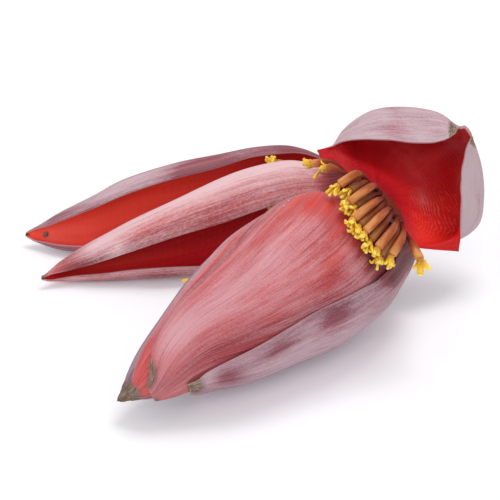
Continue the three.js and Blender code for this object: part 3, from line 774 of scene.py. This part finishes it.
# Skins of bracts: the veins' dark, middle and light, then mauve, wax and flush; on some bracts the mauve
# and the flush are also laid on as painted shade.
SALMON_SKIN = waxy_bract_skin(
    "salmon_bract_skin", 0xA43E44, 0xBC5052, 0xCA6260, 0x5E1E2E, 0xD2A0A8, 0xD2342A,
)
ROSE_SKIN = waxy_bract_skin(
    "rose_bract_skin", 0xA8484F, 0xC05E60, 0xCE7A78, 0x621A26, 0xE4C2C6, 0xC8403A,
)
# Its flush is a dark crimson, laid on mostly as painted shade in the fold at its base.
UNDER_SKIN = waxy_bract_skin(
    "under_bract_skin", 0x742E3A, 0x90454F, 0xA65C62, 0x744454, 0xC6AAB3, 0x5A0A12,
)
MAUVE_SKIN = waxy_bract_skin(
    "mauve_bract_skin", 0x7C3842, 0x964C55, 0xAA6066, 0x744454, 0xCBB0B8, 0xA03A40,
)
PALE_SKIN = waxy_bract_skin(
    "pale_bract_skin", 0x944454, 0xAA5A6A, 0xBA727C, 0x805868, 0xC4B0B6, 0xB04450,
)
# The bud's own skin: a darker copy of the bract skins, painted as shade, for the bud that lies under the
# other bracts.
SHADED_SKIN = waxy_bract_skin(
    "shaded_bud_skin", 0x6A2C3A, 0x84414E, 0x985864, 0x5E3A4A, 0xA8929C, 0x5E0E16, shine=0.03,
)
HOOD_LINING = crimson_bract_lining("crimson_hood_lining", 0x980010, 0xC41016, 0xF42C22, 0xEA7A78)
LEFT_LINING = crimson_bract_lining("crimson_bract_lining", 0x98061A, 0xCC1620, 0xF04C3A, 0xE87A6A)
PALE_MARGIN = dried_margin("bract_margin", 0xB8868C, 0xA8906E)
FINGER = fleshy_flower_tube("orange_flower_tube")
LOBE = waxy_yellow_lobe("yellow_flower_lobe")
STALK_FLESH = cut_stalk_flesh("cut_stalk_flesh")
# Small clear drops of water.
DEW = plain_material(
    "dew_water", Base_Color=colour(0xFFFFFF), Roughness=0.03, IOR=1.33, Transmission_Weight=1.0,
)
# A studio sweep of matt white paper.
SWEEP = plain_material(
    "matt_white_sweep", Base_Color=colour(0xF2F2F4), Roughness=0.9, Specular_IOR_Level=0.1,
    Emission_Color=colour(0xF0F0FF), Emission_Strength=0.1,
)

# ---- The bud and its stalk -------------------------------------------------------------------------


def tight_bud():
    """The rolled bracts: each overlaps the next along a line that winds down to the tip."""
    crown_share = 0.03  # share of the mesh that is the flat crown
    crown_depth = 42  # how far down the bud the crown's dark crimson, painted shade under the flowers and hood, reaches
    collar, collar_depth = 3.6, 8  # how far the crown swells, and how far down
    overlaps = 3
    overlap_step, overlap_start, overlap_wind = 0.5, 200, 0.35  # mm, degrees, and degrees for each mm
    steps_middle, steps_reach = 110, 90
    dry_reach, crumple_size = 14, 0.9
    skin_radius = 45

    def place(t, turn):
        reach = min(t / crown_share, 1.0)
        distance = max(t - crown_share, 0.0) / (1 - crown_share) * TIP
        angle = math.degrees(turn)
        lap = ((angle - overlap_wind * distance + overlap_start) / 360 * overlaps) % 1.0
        step = overlap_step * (lap * math.exp(-((distance - steps_middle) / steps_reach) ** 4) - 1)
        dry = math.exp(-((distance - TIP) / dry_reach) ** 2)
        shift = crumple_size * dry * wobble(distance * 0.35, turn * 3, 2.0)
        swell = collar * math.exp(-((distance / collar_depth) ** 2))
        radius = (bud_radius(distance) - BUD_SLACK + step + shift + swell) * reach
        grain = (skin_radius * math.cos(turn), distance, skin_radius * math.sin(turn))
        # Painted shade: near the crown the skin takes no wax and a deep crimson flush, darkened where it
        # lies under the flowers and the hood.
        crown = math.exp(-((distance / crown_depth) ** 4))
        growth = ((0.5 + 0.3 * lap) * (1 - crown), 0.05 + 3 * crown, dry, 0.6 * (1 - crown))
        return around(distance, angle, max(radius, 0.0)), grain, growth

    mesh = round_body(120, 150, place)
    finish_piece("tight_bud_skin", mesh, [SHADED_SKIN], "tight_bud")


def stalk_stump():
    """A short stump, uneven round its skin, with flat ends."""
    length = -STALK_CUT - CLEARANCE
    face_share = 0.12  # share of the mesh that is each flat end
    inset, unevenness = 1.2, 0.35
    grain_radius, face_grain = 14, 6
    cut_brown, skin_brown = 0.6, 0.15

    def place(t, turn):
        inward = min(t, 1 - t) / face_share
        reach = min(inward, 1.0)
        distance = STALK_CUT + min(max((t - face_share) / (1 - 2 * face_share), 0.0), 1.0) * length
        uneven = unevenness * wobble(turn * 2, distance * 0.3, 5.0)
        radius = (bud_radius(distance) - inset + uneven) * reach
        out = grain_radius * reach
        grain = (out * math.cos(turn), distance + face_grain * reach, out * math.sin(turn))
        brown = cut_brown if inward < 1.4 else skin_brown
        return around(distance, math.degrees(turn), radius), grain, (brown, 0, 0, 0)

    mesh = round_body(64, 40, place)
    finish_piece("stalk_stump", mesh, [STALK_FLESH], "stalk")


# ---- Bracts ----------------------------------------------------------------------------------------

FOLD = -0.88  # place across a bract from which its first margin tucks in
SKIN_RADIUS, BRACT_WRAP = 47, 200  # the radius and the degrees that a hugging bract's grain is laid out on
SKINS_APART = 23.0  # how far one bract's grain lies from the next one's, so that no two are alike


def crumple(s, t, dry, size):
    """A small uneven shift of withered tissue."""
    if dry < 0.02:
        return Vector()
    return Vector((
        wobble(s * 4, t * 60, size),
        wobble(s * 4, t * 60, size + 7.7),
        wobble(s * 4, t * 60, size + 15.1),
    )) * (size * dry)


def hugging_bract(name, node, rows, paint, skin, seed, margin_lift, tuck=0.0):
    """A bract round the bud. Where it stands well off the bud, at its base, its first margin runs on by
    tuck degrees and turns back down towards the bud."""
    start, end = rows[0][0], rows[-1][0]
    length = (end - start) * 0.987
    fold_rise, fold_reach = 5, 3  # mm off the bud where the fold begins, and over which it grows
    swell_size, crumple_size = 0.12, 0.7
    dry = PAINT[paint]["dry"]
    lifts = LIFTS[paint]
    width = SKIN_RADIUS * math.radians(BRACT_WRAP)

    def face(thickness):
        def place(s, t):
            distance = round(start + length * t, 4)
            one, other, rise = along(rows, distance)
            off_bud = max(rise - fold_rise, 0.0)
            share = min(off_bud / fold_reach, 1.0) if tuck else 0.0
            folded = max(FOLD - s, 0.0) / (1 + FOLD)
            across_bract = s + (max((s - FOLD) * 2 / (1 - FOLD), 0.0) - 1 - s) * share
            angle = (one + other) / 2 + (other - one) / 2 * across_bract - tuck * folded * share
            swell = swell_size * wobble(s * 3, t * 5, seed) + margin_lift * abs(s) ** 10 * (1 - t**8)
            rise -= off_bud * share * folded**1.5
            radius = bud_radius(distance) + rise + thickness * taper(s) + swell + patched(lifts, s, t)
            point = around(distance, angle, radius) + crumple(s, t, amount(dry, s, t), crumple_size)
            point.z = max(point.z, 0.0)
            return point
        return place

    mesh = sheet(
        84, 150, face(BRACT_THICKNESS), face(0.0),
        outside_growth(paint), inside_growth("hugging"), width, end - start, seed * SKINS_APART,
    )
    finish_piece(name, mesh, [skin, LEFT_LINING, PALE_MARGIN], node)


def ground_bract(name, node, rows, paint, skin, seed):
    """A long boat of a bract that has peeled back to the ground, with ruffled margins."""
    stations = [[k, *row] for k, row in enumerate(rows)]
    first = 0.3
    last = len(rows) - 1
    ruffle_size, swell_size, slack, crumple_size = 0.5, 0.4, 0.7, 0.9
    skin_width, skin_length = 110, 220
    dry = PAINT[paint]["dry"]

    def face(depth):
        def place(s, t):
            x, y, z, height, width, upper, lower = along(stations, first + t * (last - first))
            angle = math.radians((upper + lower) / 2 + (lower - upper) / 2 * s)
            ruffle = ruffle_size * abs(s) ** 6 * math.sin(t * 37 + seed) * math.sin(t * math.pi)
            swell = swell_size * wobble(s * 2.5, t * 9, seed) * math.sin(t * math.pi) - slack
            inset = depth * taper(s) - swell - ruffle
            up = max(height - inset, height / 3) * math.cos(angle)
            back = -max(width - inset, width / 3) * math.sin(angle)
            point = Vector((x, y, z)) + SECTION_UP * up + SECTION_BACK * back
            point += crumple(s, t, amount(dry, s, t), crumple_size)
            point.z = max(point.z, 0.0)
            return point
        return place

    mesh = sheet(
        84, 170, face(0.0), face(PEELED_THICKNESS),
        outside_growth(paint), inside_growth(paint), skin_width, skin_length, seed * SKINS_APART,
    )
    finish_piece(name, mesh, [skin, LEFT_LINING, PALE_MARGIN], node)


def hood_point(s, t):
    """A point of the hood's outer face, with s from -1 to 1 across it and t from 0 to 1 along it."""
    columns = len(HOOD_NET[0]) - 1
    lines = []
    for k, row in enumerate(HOOD_NET):
        stations = [[i, *point] for i, point in enumerate(row)]
        lines.append([k, *along(stations, (s + 1) / 2 * columns)])
    return Vector(along(lines, t * (len(HOOD_NET) - 1)))


@lru_cache(maxsize=None)
def hood_wall(s, t):
    """A point of the hood's outer face, and the direction into the hood from there."""
    nudge = 0.01
    over = hood_point(s + nudge, t) - hood_point(s - nudge, t)
    up = hood_point(s, t + nudge) - hood_point(s, t - nudge)
    return hood_point(s, t), over.cross(up).normalized()


def hood_bract():
    """The bract that has folded right back over the crown."""
    overrun = 0.045  # how far it runs on past its base, to close on the crown
    ruffle_size, swell_size, slack, crumple_size = 0.7, 0.25, 0.45, 0.8
    skin_width, skin_length, grain_place = 190, 130, 61.0
    dry = PAINT["hood"]["dry"]

    def face(depth):
        def place(s, t):
            point, inward = hood_wall(round(s, 6), round(t * (1 + overrun) - overrun, 6))
            ruffle = ruffle_size * abs(s) ** 8 * (wobble(t * 9, s, 3.0) + 0.2) * math.sin(t * math.pi)
            swell = slack + swell_size * wobble(s * 3, t * 4, 8.0)
            point = point + inward * (depth * taper(s) + ruffle + swell)
            return point + crumple(s, t, amount(dry, s, t), crumple_size)
        return place

    mesh = sheet(
        110, 110, face(0.0), face(PEELED_THICKNESS),
        outside_growth("hood"), inside_growth("hood"), skin_width, skin_length, grain_place, fan=-8.0,
    )
    finish_piece("hood_bract", mesh, [PALE_SKIN, HOOD_LINING, PALE_MARGIN], "bract_hood")


# ---- Hands of flowers ------------------------------------------------------------------------------

TUBE, MOUTH = 0, 1  # material slots of a hand
LOBES = 5
STYLE_RADIUS = 0.8
FINGER_ROOT = 0.52  # a finger's thickness at its root, as a share of its radius
FINGER_SWELL = 0.38  # and how much of it the finger gains
SWELL_START, SWELL_LENGTH = 0.3, 0.55  # where along it


def finger_radius(t):
    """Slender at the root and swelling towards the mouth."""
    x = min(max((t - SWELL_START) / SWELL_LENGTH, 0.0), 1.0)
    return FINGER_RADIUS * (FINGER_ROOT + FINGER_SWELL * x * x * (3 - 2 * x))


def lobe(mesh, end, ahead, lean, reach, dice):
    """One lobe of a flower's mouth: a small ruffled petal that bends outwards and curls back."""
    sunk = 1.2  # mm inside the finger's end, and as far off its middle, where the lobe starts
    spread = 1.9
    bend_share = 0.45  # share of its span before it bends
    span = reach * dice.uniform(0.5, 0.85)
    flare = math.radians(dice.uniform(0, 60))
    root = end - ahead * sunk + lean * sunk
    middle = end + ahead * (span * bend_share) + lean * spread
    lip = middle + (ahead * math.cos(flare) + lean * math.sin(flare)) * span * (1 - bend_share)
    tip = lip + lean * dice.uniform(0.3, 1.5) - ahead * dice.uniform(0.6, 2.2)
    half_width = dice.uniform(1.4, 2.2)
    seed = dice.uniform(0, 9)

    def radius(t):
        return half_width * (0.6 + 0.5 * math.sin(math.pi * t) + 0.35 * wobble(t * 7, half_width * 9, seed))

    bar(mesh, [root, middle, lip, tip], 10, 16, radius, lambda t: (0.1 + 0.9 * t, 0, 0, 1), seed,
        material=MOUTH, flatness=0.42, across=lean)


def flower(mesh, root, bend, end, mouth, shade, dice):
    """One flower: its finger, the curled lobes of its mouth and its knobbed style."""
    seed = dice.uniform(0, 9)
    bar(mesh, [root, bend, end], 20, 28, finger_radius, lambda t: (t, shade, 0, 1), seed, corners=0.04)
    ahead = (mouth - end).normalized()
    reach = (mouth - end).length
    sideways = Vector((0, 0, 1)).cross(ahead).normalized()
    for k in range(LOBES):
        turn = 2 * math.pi * k / LOBES + math.pi / 2 + dice.uniform(-0.4, 0.4)
        lobe(mesh, end, ahead, Matrix.Rotation(turn, 3, ahead) @ sideways, reach, dice)
    tip = end + ahead * (reach * 0.95)
    bar(
        mesh, [end, end.lerp(tip, 0.5), tip], 8, 14, lambda t: STYLE_RADIUS * (0.7 + 0.9 * t**4),
        lambda t: (0.6 + 0.4 * t, 0, 0, 1), seed, material=MOUTH,
    )


def long_style(mesh, points):
    """A style that hangs on after its flower, thickening to its knob."""
    bar(
        mesh, points, 10, 30, lambda t: STYLE_RADIUS * (1 + 0.7 * t**3 + 0.25 * wobble(t * 9, 1, 4)),
        lambda t: (0.3 + 0.4 * t, 0, 0, 1), 3.0, material=MOUTH,
    )


def front_ridge(mesh):
    """The fleshy ridge that the front hand's fingers grow from, broader behind the hand's lower half."""
    first, last = FRONT_RIDGE[0][0], FRONT_RIDGE[-1][0]
    back, half_width, extra_width = 1, 3.9, 3.2
    broad_from, broadens_over = 8, 34  # degrees round the axis
    foot_gap, unevenness = 0.9, 0.3

    def place(t, turn):
        angle = first + (last - first) * t
        size = math.sin(math.pi * t) ** 0.25 if 0 < t < 1 else 0.0
        broad = extra_width * min(max((angle - broad_from) / broadens_over, 0.0), 1.0)
        middle = along(FRONT_RIDGE, angle)[0] - back - broad
        distance = middle + (half_width + broad) * size * math.cos(turn)
        foot = bud_radius(round(distance, 3)) + foot_gap
        top = max(RIDGE_TOP, foot + RIDGE_HEIGHT) + unevenness * wobble(angle * 0.3, turn, 6.0)
        radius = (top + foot) / 2 + (top - foot) / 2 * size * math.sin(turn)
        # The ridge is painted a little darker as shade under the fingers.
        return around(round(distance, 3), angle, radius), (distance, angle, radius), (0.35, 0.2, 0, 1)

    round_body(24, 90, place, mesh, TUBE)


def beside_line(distance, angle, radius):
    return turned(line_frame(HAND_LINE, distance), angle, radius)


def front_hand():
    """The hand on the crown; the fingers of its lower row lie in the shade of the others and are painted
    darker.
    """
    lower_shade = 0.5
    lower_bend, side_flowers = 50, 5  # how low its fingers bend, and which lie beside the rows
    dice = random.Random(11)
    mesh = new_mesh()
    front_ridge(mesh)
    for row in FRONT_HAND:
        is_lower = row[1][2] < lower_bend and row[0][0] > side_flowers
        shade = lower_shade if is_lower else 0.0
        flower(mesh, *[beside_line(*place) for place in row], shade, dice)
    long_style(mesh, [beside_line(*place) for place in HANGING_STYLE])
    finish_piece("front_flowers", mesh, [FINGER, LOBE], "flower_hand_front")


def side_hand(name, node, rows, style, seed):
    """A hand in one of the left bracts, on a short ridge from its first root to its last."""
    ridge_radius = 3.4
    dice = random.Random(seed)
    mesh = new_mesh()
    roots = [Vector(rows[0][0]), Vector(rows[-1][0])]
    # The ridge is painted darker as shade under the fingers.
    bar(mesh, [roots[0], roots[0].lerp(roots[1], 0.5), roots[1]], 16, 20, lambda t: ridge_radius,
        lambda t: (0.1, 0.3, 0, 1), 2.0)
    for row in rows:
        flower(mesh, *[Vector(place) for place in row], 0.0, dice)
    if style:
        long_style(mesh, [Vector(place) for place in style])
    finish_piece(name, mesh, [FINGER, LOBE], node)


# ---- Small things on the bracts --------------------------------------------------------------------

# Dew on the front bract: [distance from the crown, angle round the axis, radius of the drop].
DEW_DROPS = [
    [62, -8, 0.8],
    [70, -22, 0.6],
    [79, -16, 0.7],
    [95, -4, 0.7],
    [104, 8, 0.5],
    [88, 12, 0.5],
    [58, 12, 0.6],
]


def dew():
    """Drops that stand on the front bract, a little flattened."""
    rise = FRONT_BRACT[0][3]
    flatness = 0.6
    mesh = new_mesh()
    for distance, angle, size in DEW_DROPS:
        skin = bud_radius(distance) + rise + BRACT_THICKNESS
        centre, foot = around(distance, angle, skin), around(distance, angle, 0)
        out = (centre - foot).normalized()
        turn = out.to_track_quat("Z", "Y").to_matrix().to_4x4()
        flat = Matrix.Diagonal((1, 1, flatness, 1))
        place = Matrix.Translation(metres(centre)) @ turn @ flat
        bmesh.ops.create_uvsphere(mesh, u_segments=16, v_segments=10, radius=size * MM, matrix=place)
    finish_piece("dew_drops", mesh, [DEW])


# ---- Studio ----------------------------------------------------------------------------------------

# Soft lights: [name, place, side, watts], in metres, turned to the blossom.
LIGHTS = [
    ["key", (0.25, 0.35, 1.25), 0.6, 6.5],
    ["fill", (-0.6, -1.3, 0.8), 1.0, 7.0],
]
BLOSSOM_MIDDLE = Vector((0, 0, 0.04))
SKY_STRENGTH = 0.7
SWEEP_HALF = 4.0
EYE = Vector((0, -1382.3, 805.8))
EYE_DOWN = 30  # degrees below level
FRAME_HALF, FOCAL_LENGTH = 250, 2400  # in one unit: what fits each side of the middle, and how far off


def studio():
    """A white sweep under a white sky, with a soft key from above behind and a fill from the front."""
    mesh = bmesh.new()
    bmesh.ops.create_grid(mesh, x_segments=1, y_segments=1, size=SWEEP_HALF)
    data = bpy.data.meshes.new("sweep")
    mesh.to_mesh(data)
    mesh.free()
    data.materials.append(SWEEP)
    floor = bpy.data.objects.new("sweep", data)
    bpy.context.collection.objects.link(floor)

    world = bpy.data.worlds.new("studio")
    world.use_nodes = True
    background = world.node_tree.nodes["Background"]
    background.inputs["Color"].default_value = colour(0xFFFFFF)
    background.inputs["Strength"].default_value = SKY_STRENGTH
    bpy.context.scene.world = world
    for name, place, size, power in LIGHTS:
        light = bpy.data.lights.new(name, "AREA")
        light.size = size
        light.energy = power
        lamp = bpy.data.objects.new(name, light)
        bpy.context.collection.objects.link(lamp)
        lamp.location = place
        lamp.rotation_euler = (BLOSSOM_MIDDLE - Vector(place)).to_track_quat("-Z", "Y").to_euler()


def camera():
    """Looks down from straight in front, from 1.6 m away."""
    lens = bpy.data.cameras.new("camera")
    lens.sensor_fit = "HORIZONTAL"
    lens.angle = 2 * math.atan(FRAME_HALF / FOCAL_LENGTH)
    lens.clip_end = 20
    eye = bpy.data.objects.new("camera", lens)
    bpy.context.collection.objects.link(eye)
    eye.location = metres(EYE)
    eye.rotation_euler = (math.radians(90 - EYE_DOWN), 0, 0)
    bpy.context.scene.camera = eye


# ---- The blossom -----------------------------------------------------------------------------------

tight_bud()
stalk_stump()
hugging_bract("inner_bract", "bract_inner", INNER_BRACT, "inner", SALMON_SKIN, 1.0, 0.2)
hugging_bract("front_bract", "bract_front", FRONT_BRACT, "front", SALMON_SKIN, 2.0, 0.5)
hugging_bract("under_bract", "bract_under", UNDER_BRACT, "under", UNDER_SKIN, 3.0, 0.5, tuck=17)
ground_bract("left_front_bract", "bract_left_front", LEFT_FRONT_BRACT, "left_front", ROSE_SKIN, 4.0)
ground_bract("left_back_bract", "bract_left_back", LEFT_BACK_BRACT, "left_back", MAUVE_SKIN, 5.0)
hood_bract()
front_hand()
side_hand("left_front_flowers", "flower_hand_left_front", LEFT_FRONT_HAND, GROUND_STYLE, 21)
side_hand("left_back_flowers", "flower_hand_left_back", LEFT_BACK_HAND, None, 22)
dew()
studio()
camera()
bpy.context.scene.view_settings.view_transform = "Standard"
